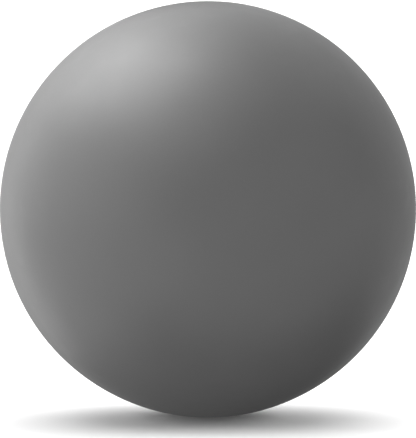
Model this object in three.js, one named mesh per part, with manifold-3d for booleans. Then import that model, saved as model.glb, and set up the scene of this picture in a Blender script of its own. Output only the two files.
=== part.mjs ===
// An inflated exercise ball: a one-piece soft skin, the valve sleeve bonded into it and the ribbed plug
// that stops the valve. Millimetres, +Z up. The origin is on the floor, under the ball's centre, in the
// middle of the flat that the ball stands on. The valve's axis runs through the ball's centre along +Y.
import * as THREE from "three";
import { mergeVertices } from "three/addons/utils/BufferGeometryUtils.js";
import Module from "manifold-3d";

// The ball. Its wall is measured as inflated, and its own weight presses a small flat under it.
const BALL_RADIUS = 325;
const WALL = 0.9;
const FOOT_RADIUS = 35;
const FOOT_SHOULDER = 12;

// The plug: a thin round head, a ribbed stem and the core that is moulded up into the stem.
const HEAD_RADIUS = 8;
const HEAD_THICKNESS = 2;
const HEAD_EDGE = 0.5;
const HEAD_BELOW_SURFACE = 0.5;
const HEAD_CROWN = 0.2;
const SHANK_UNDER_RIBS = 0.7;
const PLAIN_SHANK = 5;
const RIB_PITCH = 2.6;
const RIB_STEP = 0.4;
const TIP_TAPER = 0.8;
const TIP_LENGTH = 3;
const STEM_PAST_NECK = 2;
const CORE_WALL = 1.9;
const CORE_ROOF = 8.8;

// The valve sleeve: a collar through the skin, a flange under it and a neck that reaches inwards. The
// seat for the plug's head opens outwards, so that a nail or a puller gets under the head.
const BORE_RADIUS = 4.5;
const NECK_WALL = 3;
const NECK_LENGTH = 18;
const NECK_EDGE = 0.8;
const SEAT_FLARE = 2;
const SEAT_FLARE_DEPTH = 1.2;
const COLLAR_RIM = 2.6;
const FLANGE_WIDTH = 6;
const FLANGE_THICKNESS = 1.6;

// The skin is thicker around the valve: its boss reaches past the flange, then fades to the wall.
const BOSS_WALL = 2.4;
const BOSS_PAST_FLANGE = 3;
const BOSS_FADE = 8;

// Clearances between separate pieces.
const SKIN_TO_SLEEVE = 0.3;
const HEAD_TO_SEAT = 0.4;
const HEAD_TO_FLOOR = 0.3;
const RIB_TO_BORE = 0.3;

// The ball's facets are trimmed this far above the foot's flat, so that only the flat touches the floor.
const FOOT_TRIM = 0.1;

// Segments around the ball, a multiple of 4 so that vertices lie on its sides and top, and around
// the small round shapes.
const BALL_SEGMENTS = 60;
const SMALL_SEGMENTS = 40;

const wasm = await Module();
wasm.setup();

const footHeight = Math.sqrt(BALL_RADIUS ** 2 - FOOT_RADIUS ** 2);
const facetDepth = 2 * BALL_RADIUS * (1 - Math.cos(Math.PI / BALL_SEGMENTS));
const headTop = BALL_RADIUS - HEAD_BELOW_SURFACE;
const headUnderside = headTop - HEAD_THICKNESS;
const seatFloor = headUnderside - HEAD_TO_FLOOR;
const seatRadius = HEAD_RADIUS + HEAD_TO_SEAT;
const seatMouthRadius = seatRadius + SEAT_FLARE;
const collarRadius = seatMouthRadius + COLLAR_RIM;
const flangeRadius = collarRadius + FLANGE_WIDTH;
const flangeTop = BALL_RADIUS - BOSS_WALL - SKIN_TO_SLEEVE;
const flangeBottom = flangeTop - FLANGE_THICKNESS;
const bossRadius = flangeRadius + BOSS_PAST_FLANGE;
const neckRadius = BORE_RADIUS + NECK_WALL;
const neckEnd = flangeBottom - NECK_LENGTH;
const stemEnd = neckEnd - STEM_PAST_NECK;
const ribRadius = BORE_RADIUS - RIB_TO_BORE;
const shankRadius = ribRadius - SHANK_UNDER_RIBS;
const tipRadius = shankRadius - TIP_TAPER;
const coreRadius = shankRadius - CORE_WALL;
const coreEnd = headUnderside - CORE_ROOF;

// Height of a sphere about the ball's centre along any axis through it, at a distance from that axis.
function sphereHeight(sphereRadius, axisDistance) {
  return Math.sqrt(sphereRadius ** 2 - axisDistance ** 2);
}

// A profile of [distance from the axis, height along it], revolved about the Y axis.
function revolved(profile, segments) {
  const points = profile.map(([distance, height]) => new THREE.Vector2(distance, height));
  return new THREE.LatheGeometry(points, segments);
}

function toSolid(geometry) {
  const bare = geometry.clone();
  bare.deleteAttribute("normal");
  bare.deleteAttribute("uv");
  const merged = mergeVertices(bare);
  const mesh = new wasm.Mesh({
    numProp: 3,
    vertProperties: merged.attributes.position.array,
    triVerts: new Uint32Array(merged.index.array),
  });
  return new wasm.Manifold(mesh);
}

function toGeometry(solid) {
  const { vertProperties, triVerts } = solid.getMesh();
  const geometry = new THREE.BufferGeometry();
  geometry.setAttribute("position", new THREE.BufferAttribute(vertProperties, 3));
  geometry.setIndex(new THREE.BufferAttribute(triVerts, 1));
  geometry.computeVertexNormals();
  return geometry;
}

// Angles from the valve's axis at which both faces of the skin have a ring of vertices: one inside the
// hole for the collar, the boss's two edges, then even steps to the far pole, with one on the equator.
function skinAngles() {
  const step = (2 * Math.PI) / BALL_SEGMENTS;
  const holeRing = Math.asin(seatMouthRadius / BALL_RADIUS);
  const bossEdge = Math.asin(bossRadius / BALL_RADIUS);
  const bossEnd = Math.asin((bossRadius + BOSS_FADE) / BALL_RADIUS);
  const angles = [holeRing, bossEdge, bossEnd];
  for (let ring = 1; ring < BALL_SEGMENTS / 2; ring += 1) {
    if (ring * step > bossEnd + step / 2) {
      angles.push(ring * step);
    }
  }
  return angles;
}

// The round flat that the ball stands on, with the shoulder around it: a disc that follows the sphere
// past the flat's edge and then runs in under the ball's facets.
function footSolid(inset) {
  const sphereRadius = BALL_RADIUS - inset;
  const flatDepth = footHeight - inset;
  const flatRadius = Math.sqrt(sphereRadius ** 2 - flatDepth ** 2);
  const shoulderRadius = flatRadius + FOOT_SHOULDER;
  const innerRadius = shoulderRadius + FOOT_SHOULDER;
  const innerDepth = sphereHeight(sphereRadius, innerRadius) - facetDepth;
  const disc = revolved(
    [
      [0, innerDepth],
      [innerRadius, innerDepth],
      [shoulderRadius, sphereHeight(sphereRadius, shoulderRadius)],
      [flatRadius, flatDepth],
      [0, flatDepth],
    ],
    SMALL_SEGMENTS,
  );
  disc.rotateX(-Math.PI / 2);
  return toSolid(disc);
}

// The ball filled in to a depth under its surface, given as one inset at the valve and one elsewhere.
function ballSolid(bossInset, inset) {
  const rings = skinAngles().map((angle) => {
    const radius = BALL_RADIUS - insetAt(angle, bossInset, inset);
    return [radius * Math.sin(angle), radius * Math.cos(angle)];
  });
  const valvePole = [0, BALL_RADIUS - bossInset];
  const farPole = [0, inset - BALL_RADIUS];
  const sphere = toSolid(revolved([farPole, ...rings.reverse(), valvePole], BALL_SEGMENTS));
  const foot = footSolid(inset);
  const below = new THREE.BoxGeometry(2 * BALL_RADIUS, 2 * BALL_RADIUS, BALL_RADIUS);
  below.translate(0, 0, inset - footHeight + FOOT_TRIM - BALL_RADIUS / 2);
  return sphere.subtract(toSolid(below)).add(foot);
}

// The boss's inset out to its edge, then an even change to the inset of the rest of the ball.
function insetAt(angle, bossInset, inset) {
  const axisDistance = angle < Math.PI / 2 ? BALL_RADIUS * Math.sin(angle) : BALL_RADIUS;
  const fade = THREE.MathUtils.clamp((axisDistance - bossRadius) / BOSS_FADE, 0, 1);
  return THREE.MathUtils.lerp(bossInset, inset, fade);
}

function skinGeometry() {
  const holeRadius = collarRadius + SKIN_TO_SLEEVE;
  const hole = new THREE.CylinderGeometry(holeRadius, holeRadius, BALL_RADIUS, SMALL_SEGMENTS);
  hole.translate(0, BALL_RADIUS, 0);
  const shell = ballSolid(0, 0).subtract(ballSolid(BOSS_WALL, WALL));
  return toGeometry(shell.subtract(toSolid(hole)));
}

function sleeveGeometry() {
  const profile = [
    [BORE_RADIUS, neckEnd],
    [neckRadius - NECK_EDGE, neckEnd],
    [neckRadius, neckEnd + NECK_EDGE],
    [neckRadius, sphereHeight(flangeBottom, neckRadius)],
    [flangeRadius, sphereHeight(flangeBottom, flangeRadius)],
    [flangeRadius, sphereHeight(flangeTop, flangeRadius)],
    [collarRadius, sphereHeight(flangeTop, collarRadius)],
    [collarRadius, sphereHeight(BALL_RADIUS, collarRadius)],
    [seatMouthRadius, sphereHeight(BALL_RADIUS, seatMouthRadius)],
    [seatRadius, BALL_RADIUS - SEAT_FLARE_DEPTH],
    [seatRadius, seatFloor],
    [BORE_RADIUS, seatFloor],
    [BORE_RADIUS, neckEnd],
  ];
  return revolved(profile, SMALL_SEGMENTS);
}

// The ribs' outline from the tip to the plain shank under the head: each rib slopes out towards the
// head, then steps back to the shank, so that it goes in easily and holds against the air.
function ribProfile() {
  const firstRib = stemEnd + TIP_LENGTH;
  const ribCount = Math.floor((headUnderside - PLAIN_SHANK - firstRib) / RIB_PITCH);
  const outline = [[shankRadius, firstRib]];
  for (let rib = 1; rib <= ribCount; rib += 1) {
    const end = firstRib + rib * RIB_PITCH;
    outline.push([ribRadius, end - 2 * RIB_STEP]);
    outline.push([ribRadius, end - RIB_STEP]);
    outline.push([shankRadius, end]);
  }
  return outline;
}

function plugGeometry() {
  const profile = [
    [0, coreEnd],
    [coreRadius, coreEnd],
    [coreRadius, stemEnd],
    [tipRadius, stemEnd],
    ...ribProfile(),
    [shankRadius, headUnderside],
    [HEAD_RADIUS - HEAD_EDGE, headUnderside],
    [HEAD_RADIUS, headUnderside + HEAD_EDGE],
    [HEAD_RADIUS, headTop - HEAD_CROWN - HEAD_EDGE],
    [HEAD_RADIUS - HEAD_EDGE, headTop - HEAD_CROWN],
    [HEAD_RADIUS / 2, headTop],
    [0, headTop],
  ];
  return revolved(profile, SMALL_SEGMENTS);
}

function piece(name, geometry, material) {
  const mesh = new THREE.Mesh(geometry, material);
  mesh.name = name;
  return mesh;
}

const skinVinyl = new THREE.MeshStandardMaterial({ color: 0x616161, roughness: 0.46, metalness: 0 });
const sleeveVinyl = new THREE.MeshStandardMaterial({ color: 0x525252, roughness: 0.45, metalness: 0 });
const plugPlastic = new THREE.MeshStandardMaterial({ color: 0xe4e4e0, roughness: 0.4, metalness: 0 });

const ball = new THREE.Group();
ball.add(piece("ball_skin", skinGeometry(), skinVinyl));
ball.add(piece("valve_sleeve", sleeveGeometry(), sleeveVinyl));
ball.add(piece("valve_plug", plugGeometry(), plugPlastic));
ball.position.z = footHeight;

export default ball;
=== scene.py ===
import math

import bmesh
import bpy
from mathutils import Matrix, Vector, noise


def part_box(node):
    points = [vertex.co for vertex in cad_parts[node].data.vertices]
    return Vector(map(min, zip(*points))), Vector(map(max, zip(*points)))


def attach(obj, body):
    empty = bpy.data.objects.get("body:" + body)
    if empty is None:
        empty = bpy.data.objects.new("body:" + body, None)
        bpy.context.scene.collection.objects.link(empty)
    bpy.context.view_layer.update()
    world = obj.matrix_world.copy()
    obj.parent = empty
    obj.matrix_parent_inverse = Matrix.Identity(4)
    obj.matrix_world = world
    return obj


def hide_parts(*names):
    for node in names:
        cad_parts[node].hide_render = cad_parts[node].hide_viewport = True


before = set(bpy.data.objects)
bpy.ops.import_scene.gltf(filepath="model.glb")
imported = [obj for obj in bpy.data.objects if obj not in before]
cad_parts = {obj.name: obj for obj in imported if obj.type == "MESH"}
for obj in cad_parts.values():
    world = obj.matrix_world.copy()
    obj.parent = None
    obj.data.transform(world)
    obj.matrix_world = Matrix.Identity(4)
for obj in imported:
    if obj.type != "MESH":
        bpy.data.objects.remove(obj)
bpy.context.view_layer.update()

# The looks of an exercise ball: its satin vinyl skin, the valve's sleeve and the ribbed plug. Lengths
# are in metres in the CAD frame: +Z up, the floor at z = 0, and the valve's axis along +Y through the
# ball's centre.
MM = 0.001

# Taken from the frame.
skin_low, skin_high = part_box("ball_skin")
sleeve_low, sleeve_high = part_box("valve_sleeve")
plug_low, plug_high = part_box("valve_plug")
BALL_RADIUS = (skin_high.x - skin_low.x) / 2
CENTRE = Vector((0, 0, skin_high.z - BALL_RADIUS))
FLANGE_RADIUS = (sleeve_high.x - sleeve_low.x) / 2
NECK_END = sleeve_low.y
HEAD_RADIUS = (plug_high.x - plug_low.x) / 2
HEAD_TOP = plug_high.y
STEM_END = plug_low.y

# The skin, which is slightly wavy. FOOT_BEND is how far off the floor it starts to bend into its flat.
# The mould's parting line runs round the ball halfway between the valve and the far pole, and so through
# the foot. The mesh is closer within FOOT_REACH of it.
WALL = 0.9 * MM
FOOT_BEND = 0.8 * MM
FOOT_REACH = 48 * MM
PARTING_HEIGHT = 0.3 * MM
PARTING_WIDTH = 0.85 * MM
WAVE_HEIGHT = 0.12 * MM
WAVE_PITCH = 110 * MM

# The skin around the valve: thicker, with a low pad over the sleeve's flange and a rounded hole.
BOSS_WALL = 2.4 * MM
BOSS_RADIUS = FLANGE_RADIUS + 3 * MM
BOSS_FADE = 8 * MM
PAD_HEIGHT = 0.4 * MM
PAD_FADE = 4 * MM
HOLE_ROUNDING = 0.6 * MM
WELD_GAP = 0.15 * MM

# The valve's sleeve.
BORE_RADIUS = 4.5 * MM
NECK_RADIUS = BORE_RADIUS + 3 * MM
SEAT_RADIUS = HEAD_RADIUS + 0.4 * MM
SEAT_MOUTH_RADIUS = SEAT_RADIUS + 2 * MM
SEAT_FLARE_DEPTH = 1.2 * MM
COLLAR_RADIUS = SEAT_MOUTH_RADIUS + 2.6 * MM
HOLE_RADIUS = COLLAR_RADIUS + WELD_GAP
FLANGE_TOP = BALL_RADIUS - BOSS_WALL - 0.3 * MM
FLANGE_BOTTOM = FLANGE_TOP - 1.6 * MM
BEAD_HEIGHT = 0.12 * MM
BEAD_WIDTH = 0.5 * MM

# The plug.
HEAD_UNDERSIDE = HEAD_TOP - 2 * MM
SEAT_FLOOR = HEAD_UNDERSIDE - 0.3 * MM
HEAD_CROWN = 0.25 * MM
RIB_RADIUS = BORE_RADIUS - 0.3 * MM
SHANK_RADIUS = RIB_RADIUS - 0.7 * MM
RIB_PITCH = 2.6 * MM
RIB_LAND = 0.4 * MM
RIB_COUNT = 5
TIP_RADIUS = SHANK_RADIUS - 0.8 * MM
TIP_LENGTH = 3 * MM
CORE_RADIUS = 1.6 * MM
CORE_END = HEAD_UNDERSIDE - 8.8 * MM
RING_GROOVE_RADIUS = 5.4 * MM
RING_GROOVE_DEPTH = 0.25 * MM
GATE_RADIUS = 0.9 * MM
GATE_DEPTH = 0.15 * MM

# Linear colours and roughness.
SKIN_GREY = (0.12, 0.12, 0.12)
SLEEVE_GREY = (0.085, 0.085, 0.085)
PLUG_WHITE = (0.78, 0.78, 0.75)
FLOOR_WHITE = (0.9, 0.9, 0.9)
SKIN_ROUGHNESS = 0.46
SLEEVE_ROUGHNESS = 0.45
PLUG_ROUGHNESS = 0.4

# How the skin's rubbed hairlines and its parting line differ from the rest of it.
RUBBED_TONE = 0.05
RUBBED_ROUGHNESS = 0.08
PARTING_TONE = -0.05
PARTING_ROUGHNESS = -0.06

# The skin's fine relief.
GRAIN_PITCH = 1.4 * MM
GRAIN_DEPTH = 0.02 * MM
PORE_PITCH = 0.45 * MM
PORE_DEPTH = 0.006 * MM

# The camera: far off with a long lens, slightly above the ball's middle and aimed just under it.
LENS = 420.9
SENSOR = 36
VIEW_ELEVATION = math.radians(3.3)
VIEW_DISTANCE = 8
AIM_DROP = math.radians(0.108)

# The floor reaches well past the view, and the softboxes stand this far from the ball's centre.
FLOOR_RADIUS = 60
LIGHT_DISTANCE = 1.8

# The softboxes light only the ball. Azimuth and elevation from its centre, roll, half width and half
# height are in degrees, and the last value is the radiance.
SOFTBOXES = {
    "key": (-80, 65, 0, 55, 35, 1.05),
    "key_core": (-90, 60, 30, 25, 20, 4.6),
    "left_wall": (-85, -15, -5, 60, 40, 1.05),
    "left_edge": (-140, 0, 0, 30, 35, 0.5),
    "right_edge": (140, 10, 0, 35, 40, 0.7),
    "front_fill": (40, -15, 30, 65, 45, 0.8),
    "back_top": (180, 70, -35, 55, 30, 0.55),
}

# A faint dome from the left, and the white that the camera sees past the floor.
DOME = 0.35
BACKDROP = 1.5

# Wide, distant lights reach only the floor: azimuth, elevation and half angle in degrees, and how
# brightly each lights the open floor.
FLOOR_LIGHTS = {
    "floor_top": (0, 90, 35, 0.4),
    "floor_back_high": (180, 55, 45, 0.85),
    "floor_back_low": (180, 30, 20, 0.15),
    "floor_left": (-110, 20, 20, 0.2),
    "floor_right": (110, 20, 20, 0.27),
}


# ---------------------------------------------------------------- measures

def sphere_height(radius, distance):
    """Height along the valve's axis of a sphere about the ball's centre, at a distance from the axis."""
    return math.sqrt(radius**2 - distance**2)


def on_meridian(radius, polar):
    """(distance, height) of a point at an angle from the valve's axis."""
    return radius * math.sin(polar), radius * math.cos(polar)


def smooth_step(value, low, high):
    """0 at low, 1 at high and beyond, and an even S between them. High may be the lower of the two."""
    share = min(max((value - low) / (high - low), 0), 1)
    return share * share * (3 - 2 * share)


def widening(start, end, first, last, growth=1.2):
    """Values from start to end, whose spacing grows from first to last."""
    values = [start]
    gap = first
    while values[-1] + 1.4 * gap < end:
        values.append(values[-1] + gap)
        gap = min(gap * growth, last)
    return values + [end]


# ---------------------------------------------------------------- outlines and solids

# A point closer to the valve's axis than this is on it.
ON_AXIS = 1e-7


def rounded(corners, steps=5):
    """An outline's points, from corners given as (distance, height, rounding)."""
    points = []
    for index, (distance, height, rounding) in enumerate(corners):
        corner = Vector((distance, height))
        if not rounding:
            points.append(corner)
            continue
        before = Vector(corners[index - 1][:2])
        after = Vector(corners[(index + 1) % len(corners)][:2])
        to_before = (before - corner).normalized()
        to_after = (after - corner).normalized()
        half = to_before.angle(to_after) / 2
        middle = corner + (to_before + to_after).normalized() * (rounding / math.sin(half))
        start = (corner + to_before * (rounding / math.tan(half)) - middle).normalized()
        end = (corner + to_after * (rounding / math.tan(half)) - middle).normalized()
        for step in range(steps + 1):
            points.append(middle + start.slerp(end, step / steps) * rounding)
    return points


def even_angles(count):
    """Angles around the valve's axis, in equal steps."""
    return [2 * math.pi * index / count for index in range(count)]


def revolved(name, outline, angles, closed):
    """A solid of revolution about the valve's axis, through an outline's (distance, height) points.
    Angle 0 points down. A closed outline is a loop; any other starts and ends on the axis."""
    shape = bmesh.new()
    rings = []
    for distance, height in outline:
        around = angles if distance > ON_AXIS else [0]
        ring = []
        for angle in around:
            across = Vector((math.sin(angle) * distance, height, -math.cos(angle) * distance))
            ring.append(shape.verts.new(CENTRE + across))
        rings.append(ring)
    after = rings[1:] + rings[:1] if closed else rings[1:]
    for ring, next_ring in zip(rings, after):
        for index in range(len(angles)):
            following = (index + 1) % len(angles)
            corners = [ring[index % len(ring)], ring[following % len(ring)]]
            corners += [next_ring[following % len(next_ring)], next_ring[index % len(next_ring)]]
            shape.faces.new(dict.fromkeys(corners))
    bmesh.ops.recalc_face_normals(shape, faces=shape.faces)
    mesh = bpy.data.meshes.new(name)
    shape.to_mesh(mesh)
    shape.free()
    mesh.shade_smooth()
    piece = bpy.data.objects.new(name, mesh)
    bpy.context.scene.collection.objects.link(piece)
    return piece


def crisp(piece):
    """Keeps flat faces flat beside their rounded edges."""
    weighted = piece.modifiers.new("flat faces", "WEIGHTED_NORMAL")
    weighted.keep_sharp = True
    return piece


# ---------------------------------------------------------------- skin

def skin_radius(polar):
    """The skin's outer radius at an angle from the valve's axis, with the pad and the parting line."""
    from_parting = (polar - math.pi / 2) * BALL_RADIUS
    line = PARTING_HEIGHT * math.exp(-((from_parting / PARTING_WIDTH) ** 2))
    if polar > math.pi / 4:
        # Well away from the pad.
        return BALL_RADIUS + line
    distance = BALL_RADIUS * math.sin(polar)
    return BALL_RADIUS + PAD_HEIGHT * smooth_step(distance, FLANGE_RADIUS + PAD_FADE, FLANGE_RADIUS)


def inner_radius(polar):
    """The skin's inner radius, with the thicker wall around the valve."""
    distance = BALL_RADIUS * math.sin(polar) if polar < math.pi / 2 else BALL_RADIUS
    fade = smooth_step(distance, BOSS_RADIUS, BOSS_RADIUS + BOSS_FADE)
    return BALL_RADIUS - BOSS_WALL - (WALL - BOSS_WALL) * fade


def skin_outline():
    """From the far pole over the outside to the valve's hole, round its edge, and back inside."""
    boss_end = math.asin((BOSS_RADIUS + BOSS_FADE) / BALL_RADIUS)
    foot_reach = FOOT_REACH / BALL_RADIUS
    fine, coarse = math.radians(0.5), math.radians(2)
    line_steps = [0, 0.3 * MM, 0.6 * MM, 0.9 * MM, 1.4 * MM, 2.2 * MM]
    offsets = [step / BALL_RADIUS for step in line_steps]
    offsets += widening(3.2 * MM / BALL_RADIUS, foot_reach, fine, fine)
    quarter = math.pi / 2
    far_half = offsets + widening(foot_reach, quarter, fine, coarse)[1:-1]
    near_half = offsets + widening(foot_reach, quarter - boss_end, fine, coarse)[1:]
    hole_edge = HOLE_RADIUS + HOLE_ROUNDING
    around_hole = widening(hole_edge, BOSS_RADIUS + BOSS_FADE, 0.3 * MM, 1.2 * MM)[:-1]
    outside = [math.pi] + [quarter + offset for offset in reversed(far_half)]
    outside += [quarter - offset for offset in near_half[1:]]
    outside += [math.asin(distance / BALL_RADIUS) for distance in reversed(around_hole[1:])]
    points = [on_meridian(skin_radius(polar), polar) for polar in outside]

    rim = sphere_height(BALL_RADIUS + PAD_HEIGHT, hole_edge)
    rim_steps = 6
    for step in range(rim_steps + 1):
        turn = quarter * step / rim_steps
        distance = hole_edge - HOLE_ROUNDING * math.sin(turn)
        points.append((distance, rim - HOLE_ROUNDING * (1 - math.cos(turn))))
    points.append((HOLE_RADIUS, sphere_height(BALL_RADIUS - BOSS_WALL, HOLE_RADIUS)))

    # The inside takes every second ring.
    inside = [math.asin(distance / BALL_RADIUS) for distance in around_hole[2::2]]
    inside += [quarter - offset for offset in reversed(near_half[::2])]
    inside += [quarter + offset for offset in far_half[2::2]] + [math.pi]
    points += [on_meridian(inner_radius(polar), polar) for polar in inside]
    return points


def pressed(height, lowest):
    """A height that bends smoothly into the lowest one that is allowed."""
    rise = height - lowest
    if rise >= FOOT_BEND:
        return height
    if rise <= -FOOT_BEND:
        return lowest
    return lowest + (rise + FOOT_BEND) ** 2 / (4 * FOOT_BEND)


def make_skin():
    """The inflated skin: closely meshed near the foot, and slightly wavy all over but at the valve."""
    # Angles from straight down, around the valve's axis. They are closest together under the ball.
    foot_end = math.radians(9)
    foot_half = widening(0, foot_end, math.radians(0.5), math.radians(0.5))
    half_turn = foot_half + widening(foot_end, math.pi, math.radians(0.6), math.radians(2.25))[1:]
    angles = half_turn + [-angle for angle in reversed(half_turn[1:-1])]
    skin = revolved("vinyl_skin", skin_outline(), angles, closed=False)
    for vertex in skin.data.vertices:
        outward = vertex.co - CENTRE
        lowest = 0 if outward.length > BALL_RADIUS - WALL / 2 else WALL
        from_valve = math.hypot(outward.x, outward.z) if outward.y > 0 else BALL_RADIUS
        wave = WAVE_HEIGHT * noise.noise(outward.normalized() * (BALL_RADIUS / WAVE_PITCH))
        wave *= smooth_step(from_valve, BOSS_RADIUS, 3 * BOSS_RADIUS)
        vertex.co += outward.normalized() * wave
        vertex.co.z = pressed(vertex.co.z, lowest)
    return skin


# ---------------------------------------------------------------- valve

def make_sleeve():
    """Neck, flange, collar, flared seat and, on the seat's floor, the bead that the head seals on."""
    bead = (SEAT_RADIUS + BORE_RADIUS) / 2
    outline = rounded([
        (BORE_RADIUS, NECK_END, 0.5 * MM),
        (NECK_RADIUS, NECK_END, 0.9 * MM),
        (NECK_RADIUS, sphere_height(FLANGE_BOTTOM, NECK_RADIUS), 1.5 * MM),
        (FLANGE_RADIUS, sphere_height(FLANGE_BOTTOM, FLANGE_RADIUS), 0.6 * MM),
        (FLANGE_RADIUS, sphere_height(FLANGE_TOP, FLANGE_RADIUS), 0.6 * MM),
        (COLLAR_RADIUS, sphere_height(FLANGE_TOP, COLLAR_RADIUS), 0.3 * MM),
        (COLLAR_RADIUS, sphere_height(BALL_RADIUS, COLLAR_RADIUS), 0.5 * MM),
        (SEAT_MOUTH_RADIUS, sphere_height(BALL_RADIUS, SEAT_MOUTH_RADIUS), 0.7 * MM),
        (SEAT_RADIUS, BALL_RADIUS - SEAT_FLARE_DEPTH, 0.4 * MM),
        (SEAT_RADIUS, SEAT_FLOOR, 0.3 * MM),
        (bead + BEAD_WIDTH, SEAT_FLOOR, 0.1 * MM),
        (bead + BEAD_WIDTH / 2, SEAT_FLOOR + BEAD_HEIGHT, 0.1 * MM),
        (bead - BEAD_WIDTH / 2, SEAT_FLOOR + BEAD_HEIGHT, 0.1 * MM),
        (bead - BEAD_WIDTH, SEAT_FLOOR, 0.1 * MM),
        (BORE_RADIUS, SEAT_FLOOR, 0.4 * MM),
    ])
    return crisp(revolved("moulded_sleeve", outline, even_angles(128), closed=True))


def rib_corners():
    """From the tip towards the head: each rib slopes out, then steps back to the shank."""
    first = STEM_END + TIP_LENGTH
    corners = [(SHANK_RADIUS, first, 0.3 * MM)]
    for rib in range(1, RIB_COUNT + 1):
        end = first + rib * RIB_PITCH
        corners.append((RIB_RADIUS, end - 2 * RIB_LAND, 0.25 * MM))
        corners.append((RIB_RADIUS, end - RIB_LAND, 0.15 * MM))
        corners.append((SHANK_RADIUS, end, 0.15 * MM))
    return corners


def make_plug():
    """A thin head with a ring groove and a gate mark, on a ribbed stem with a core."""
    shoulder = HEAD_TOP - HEAD_CROWN
    groove_top = HEAD_TOP - 0.1 * MM
    groove_floor = groove_top - RING_GROOVE_DEPTH
    outline = rounded([
        (0, CORE_END, 0),
        (CORE_RADIUS, CORE_END, 0.6 * MM),
        (CORE_RADIUS, STEM_END, 0.2 * MM),
        (TIP_RADIUS, STEM_END, 0.4 * MM),
        *rib_corners(),
        (SHANK_RADIUS, HEAD_UNDERSIDE, 0.5 * MM),
        (HEAD_RADIUS, HEAD_UNDERSIDE, 0.5 * MM),
        (HEAD_RADIUS, shoulder, 0.6 * MM),
        (RING_GROOVE_RADIUS + 0.4 * MM, groove_top, 0.12 * MM),
        (RING_GROOVE_RADIUS + 0.2 * MM, groove_floor, 0.1 * MM),
        (RING_GROOVE_RADIUS - 0.2 * MM, groove_floor, 0.1 * MM),
        (RING_GROOVE_RADIUS - 0.4 * MM, groove_top, 0.12 * MM),
        (GATE_RADIUS + GATE_DEPTH, HEAD_TOP, 0.1 * MM),
        (GATE_RADIUS, HEAD_TOP - GATE_DEPTH, 0.08 * MM),
        (0, HEAD_TOP - GATE_DEPTH, 0),
    ])
    return crisp(revolved("ribbed_stopper", outline, even_angles(112), closed=False))


# ---------------------------------------------------------------- materials

class Nodes:
    """A tree of shader nodes. Most methods add nodes and give back their last output."""

    def __init__(self, tree):
        self.tree = tree

    def new(self, kind):
        return self.tree.nodes.new("ShaderNode" + kind)

    def feed(self, socket, value):
        """Sets a socket to a value, or links another node's output to it."""
        if isinstance(value, bpy.types.NodeSocket):
            self.tree.links.new(value, socket)
        else:
            socket.default_value = value

    def maths(self, operation, first, second):
        node = self.new("Math")
        node.operation = operation
        self.feed(node.inputs[0], first)
        self.feed(node.inputs[1], second)
        return node.outputs[0]

    def sum(self, *values):
        total = values[0]
        for value in values[1:]:
            total = self.maths("ADD", total, value)
        return total

    def apart(self, first, second):
        """How far apart two values are."""
        return self.maths("ABSOLUTE", self.maths("SUBTRACT", first, second), 0)

    def vectors(self, operation, first, second=(0, 0, 0), gives="Vector"):
        node = self.new("VectorMath")
        node.operation = operation
        self.feed(node.inputs[0], first)
        self.feed(node.inputs[1], second)
        return node.outputs[gives]


class Finish(Nodes):
    """A material and its nodes."""

    def __init__(self, name):
        self.material = bpy.data.materials.new(name)
        self.material.use_nodes = True
        super().__init__(self.material.node_tree)
        self.surface = self.tree.nodes["Principled BSDF"]
        self.place = self.new("TexCoord").outputs["Object"]

    def cloud(self, pitch, detail=2, distortion=0):
        """Smooth noise from 0 to 1 whose patches are about pitch across."""
        node = self.new("TexNoise")
        self.feed(node.inputs["Vector"], self.place)
        self.feed(node.inputs["Scale"], 1 / pitch)
        self.feed(node.inputs["Detail"], detail)
        self.feed(node.inputs["Distortion"], distortion)
        return node.outputs[0]

    def ramp(self, value, low, high, to_low=0, to_high=1):
        """An S-shaped change from to_low, where the value is low, to to_high, where it is high."""
        node = self.new("MapRange")
        node.interpolation_type = "SMOOTHSTEP"
        self.feed(node.inputs["Value"], value)
        self.feed(node.inputs["From Min"], low)
        self.feed(node.inputs["From Max"], high)
        self.feed(node.inputs["To Min"], to_low)
        self.feed(node.inputs["To Max"], to_high)
        return node.outputs[0]

    def mottle(self, pitch, amount, detail=3):
        """A change of up to this amount either way, in patches about pitch across."""
        return self.ramp(self.cloud(pitch, detail), 0.3, 0.7, -amount, amount)

    def shaded(self, colour, tone):
        """A plain colour times a tone that varies over the surface."""
        node = self.new("VectorMath")
        node.operation = "SCALE"
        self.feed(node.inputs[0], colour)
        self.feed(node.inputs["Scale"], tone)
        return node.outputs[0]

    def relief(self, height, depth, below=None):
        """A bump of this depth, on top of another one."""
        node = self.new("Bump")
        self.feed(node.inputs["Height"], height)
        self.feed(node.inputs["Distance"], depth)
        if below:
            self.feed(node.inputs["Normal"], below)
        return node.outputs[0]

    def from_parting(self):
        """Distance from the plane of the parting line."""
        node = self.new("SeparateXYZ")
        self.feed(node.inputs[0], self.place)
        return self.apart(node.outputs["Y"], CENTRE.y)

    def from_axis(self):
        """Distance from the valve's axis."""
        offset = self.vectors("SUBTRACT", self.place, CENTRE)
        across = self.vectors("MULTIPLY", offset, (1, 0, 1))
        return self.vectors("LENGTH", across, gives="Value")


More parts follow.
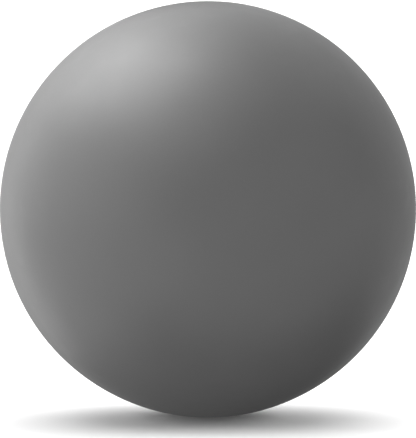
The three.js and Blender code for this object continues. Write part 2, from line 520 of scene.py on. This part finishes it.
def skin_finish():
    """Satin vinyl with a fine grain, faint mottling, rubbed hairlines and a trimmed parting line."""
    finish = Finish("skin_vinyl")
    line = finish.cloud(0.035, detail=1, distortion=1.2)
    hairline = finish.ramp(finish.apart(line, 0.5), 0, 0.006, 1, 0)
    rubbed = finish.maths("MULTIPLY", hairline, finish.ramp(finish.cloud(0.12), 0.55, 0.7))
    parting = finish.ramp(finish.from_parting(), 0.5 * PARTING_WIDTH, 1.6 * PARTING_WIDTH, 1, 0)

    patches = finish.mottle(0.15, 0.015)
    specks = finish.mottle(1.1 * MM, 0.03)
    lighter = finish.maths("MULTIPLY", rubbed, RUBBED_TONE)
    darker = finish.maths("MULTIPLY", parting, PARTING_TONE)
    tone = finish.sum(1, patches, specks, lighter, darker)
    finish.feed(finish.surface.inputs["Base Color"], finish.shaded(SKIN_GREY, tone))

    uneven = finish.mottle(0.09, 0.02)
    handled = finish.ramp(finish.cloud(0.05, detail=5, distortion=0.6), 0.52, 0.68, 0, -0.03)
    dulled = finish.maths("MULTIPLY", rubbed, RUBBED_ROUGHNESS)
    trimmed = finish.maths("MULTIPLY", parting, PARTING_ROUGHNESS)
    roughness = finish.sum(SKIN_ROUGHNESS, uneven, handled, dulled, trimmed)
    finish.feed(finish.surface.inputs["Roughness"], roughness)

    grain = finish.relief(finish.cloud(GRAIN_PITCH), GRAIN_DEPTH)
    pores = finish.relief(finish.cloud(PORE_PITCH, detail=1), PORE_DEPTH, below=grain)
    finish.feed(finish.surface.inputs["Normal"], pores)
    return finish.material


def sleeve_finish():
    """Darker vinyl, with painted shade in the seat's corner."""
    finish = Finish("sleeve_vinyl")
    patches = finish.mottle(6 * MM, 0.05)
    # Painted shade: the vinyl is darker within 0.9 mm of the seat's wall, most at the wall and its
    # corner.
    from_corner = finish.apart(finish.from_axis(), SEAT_RADIUS)
    painted_corner_shade = finish.ramp(from_corner, 0, 0.9 * MM, -0.25, 0)
    tone = finish.sum(1, patches, painted_corner_shade)
    finish.feed(finish.surface.inputs["Base Color"], finish.shaded(SLEEVE_GREY, tone))
    roughness = finish.sum(SLEEVE_ROUGHNESS, finish.mottle(4 * MM, 0.05, detail=2))
    finish.feed(finish.surface.inputs["Roughness"], roughness)
    grain = finish.relief(finish.cloud(0.6 * MM), 0.01 * MM)
    finish.feed(finish.surface.inputs["Normal"], grain)
    return finish.material


def plug_finish():
    """Off-white plastic, with painted shade in its ring groove, and worn round the head's edge."""
    finish = Finish("plug_plastic")
    from_axis = finish.from_axis()
    patches = finish.mottle(5 * MM, 0.02)
    # Painted shade: the plastic is darker in and just beside the ring groove.
    painted_groove_shade = finish.ramp(finish.apart(from_axis, RING_GROOVE_RADIUS), 0, 0.4 * MM, -0.16, 0)
    worn = finish.ramp(from_axis, HEAD_RADIUS - 0.8 * MM, HEAD_RADIUS, 0, -0.08)
    tone = finish.sum(1, patches, painted_groove_shade, worn)
    finish.feed(finish.surface.inputs["Base Color"], finish.shaded(PLUG_WHITE, tone))
    roughness = finish.sum(PLUG_ROUGHNESS, finish.mottle(3 * MM, 0.06, detail=2))
    finish.feed(finish.surface.inputs["Roughness"], roughness)
    grain = finish.relief(finish.cloud(0.5 * MM), 0.006 * MM)
    finish.feed(finish.surface.inputs["Normal"], grain)
    return finish.material


def floor_finish():
    """Matt and pale."""
    finish = Finish("pale_floor")
    tone = finish.sum(1, finish.mottle(0.4, 0.005))
    finish.feed(finish.surface.inputs["Base Color"], finish.shaded(FLOOR_WHITE, tone))
    finish.surface.inputs["Roughness"].default_value = 1
    finish.surface.inputs["Specular IOR Level"].default_value = 0
    return finish.material


# ---------------------------------------------------------------- stage, lights and camera

def direction(azimuth, elevation):
    """A unit vector. Azimuth 0 is towards the camera and 90 to its right, and both are in degrees."""
    around, up = math.radians(azimuth), math.radians(elevation)
    return Vector((math.sin(around) * math.cos(up), -math.cos(around) * math.cos(up), math.sin(up)))


def make_floor():
    """A disc that neither blocks nor takes the ball's light, so that light also reaches the ball from
    below."""
    shape = bmesh.new()
    bmesh.ops.create_circle(shape, cap_ends=True, segments=64, radius=FLOOR_RADIUS)
    mesh = bpy.data.meshes.new("floor")
    shape.to_mesh(mesh)
    shape.free()
    mesh.materials.append(floor_finish())
    floor = bpy.data.objects.new("floor", mesh)
    bpy.context.scene.collection.objects.link(floor)
    floor.visible_diffuse = False
    floor.visible_glossy = False
    floor.visible_shadow = False
    return floor


def group_of(name, objects):
    """A collection that lights are linked to, so that they light only these objects."""
    group = bpy.data.collections.new(name)
    for member in objects:
        group.objects.link(member)
    return group


def softbox(name, azimuth, elevation, roll, half_width, half_height, radiance, lit):
    """A rectangular light that faces the ball's centre, its size given by its half angles in degrees."""
    away = direction(azimuth, elevation)
    right = Vector((0, 0, 1)).cross(away).normalized()
    turn = Matrix((right, away.cross(right), away)).transposed().to_4x4()
    light = bpy.data.lights.new(name, "AREA")
    light.shape = "RECTANGLE"
    light.size = 2 * LIGHT_DISTANCE * math.tan(math.radians(half_width))
    light.size_y = 2 * LIGHT_DISTANCE * math.tan(math.radians(half_height))
    light.energy = radiance * math.pi * light.size * light.size_y
    holder = bpy.data.objects.new(name, light)
    rolled = turn @ Matrix.Rotation(math.radians(roll), 4, "Z")
    holder.matrix_world = Matrix.Translation(CENTRE + away * LIGHT_DISTANCE) @ rolled
    holder.light_linking.receiver_collection = lit
    holder.visible_camera = False
    bpy.context.scene.collection.objects.link(holder)


def floor_light(name, azimuth, elevation, half_angle, brightness, lit):
    """A distant round light, so that the open floor is evenly lit to its far edge."""
    light = bpy.data.lights.new(name, "SUN")
    light.angle = math.radians(2 * half_angle)
    light.energy = brightness * math.pi / math.sin(math.radians(elevation))
    holder = bpy.data.objects.new(name, light)
    holder.rotation_euler = direction(azimuth, elevation).to_track_quat("Z", "Y").to_euler()
    holder.light_linking.receiver_collection = lit
    bpy.context.scene.collection.objects.link(holder)


def make_camera():
    """Looks along +Y and slightly down."""
    camera = bpy.data.cameras.new("camera")
    camera.lens = LENS
    camera.sensor_width = SENSOR
    holder = bpy.data.objects.new("camera", camera)
    back = Vector((0, -math.cos(VIEW_ELEVATION), math.sin(VIEW_ELEVATION)))
    holder.location = CENTRE + back * VIEW_DISTANCE
    holder.rotation_euler = (math.pi / 2 - VIEW_ELEVATION - AIM_DROP, 0, 0)
    bpy.context.scene.collection.objects.link(holder)
    bpy.context.scene.camera = holder


def make_world():
    """White where the camera sees it, and otherwise a dome of light that comes from the left."""
    world = bpy.data.worlds.new("studio")
    world.use_nodes = True
    bpy.context.scene.world = world
    nodes = Nodes(world.node_tree)
    background = world.node_tree.nodes["Background"]
    background.inputs["Color"].default_value = (1, 1, 1, 1)
    way = nodes.new("TexCoord").outputs["Generated"]
    leftness = nodes.vectors("DOT_PRODUCT", way, (-1, 0, 0), gives="Value")
    dome = nodes.maths("MULTIPLY", nodes.maths("MAXIMUM", leftness, 0), DOME)
    seen = nodes.new("LightPath").outputs["Is Camera Ray"]
    backdrop = nodes.maths("MULTIPLY", seen, BACKDROP)
    nodes.feed(background.inputs["Strength"], nodes.maths("MAXIMUM", dome, backdrop))


# ---------------------------------------------------------------- the whole scene

skin = make_skin()
sleeve = make_sleeve()
plug = make_plug()
for piece, finish, body, node, slot in (
    (skin, skin_finish(), "ball", "ball_skin", "skin_vinyl"),
    (sleeve, sleeve_finish(), "ball", "valve_sleeve", "sleeve_vinyl"),
    (plug, plug_finish(), "plug", "valve_plug", "plug_plastic"),
):
    piece.data.materials.append(finish)
    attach(piece, body)
    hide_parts(node)

floor = make_floor()
lit_ball = group_of("lit by the softboxes", [skin, sleeve, plug])
lit_floor = group_of("lit by the floor lights", [floor])
for name, placing in SOFTBOXES.items():
    softbox(name, *placing, lit_ball)
for name, placing in FLOOR_LIGHTS.items():
    floor_light(name, *placing, lit_floor)
make_world()
make_camera()
bpy.context.scene.view_settings.view_transform = "Standard"
